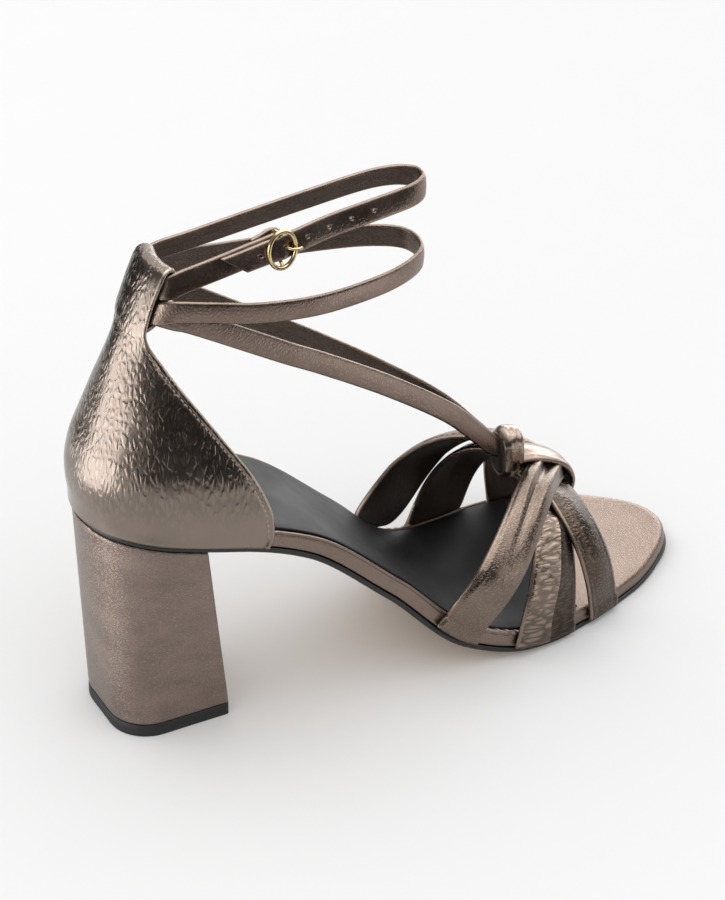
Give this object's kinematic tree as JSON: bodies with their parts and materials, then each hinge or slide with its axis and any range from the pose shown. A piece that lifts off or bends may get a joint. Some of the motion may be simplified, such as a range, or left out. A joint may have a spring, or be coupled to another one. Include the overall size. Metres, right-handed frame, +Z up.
{
  "type": "strappy sandal",
  "caption": "Right women's strappy sandal with a covered block heel, closed heel counter, fanned and knotted toe straps and buckled ankle straps.",
  "frame": {"origin": "middle of the heel top piece's face on the floor", "axes": "+X towards the toe, +Y towards the inner side of the foot, +Z up from the floor"},
  "size_m": [0.2214, 0.0803, 0.1757],
  "materials": {
    "bronze_leather": "grained metallic leather",
    "bronze_cover": "fine metallic leather over board and heel",
    "black_sock": "matt sock lining",
    "black_sole": "matt sole leather look",
    "black_rubber": "matt rubber",
    "pale_gold": "polished pale gold"
  },
  "bodies": {
    "root": {"outsole": "black_sole", "sole_board": "bronze_cover", "insole": "black_sock", "heel": "bronze_cover", "heel_top_piece": "black_rubber", "heel_counter": "bronze_leather", "vamp_straps": "bronze_leather", "knot": "bronze_leather", "ankle_strap": "bronze_leather", "buckle_frame": "pale_gold", "buckle_prong": "pale_gold"}
  },
  "joints": []
}
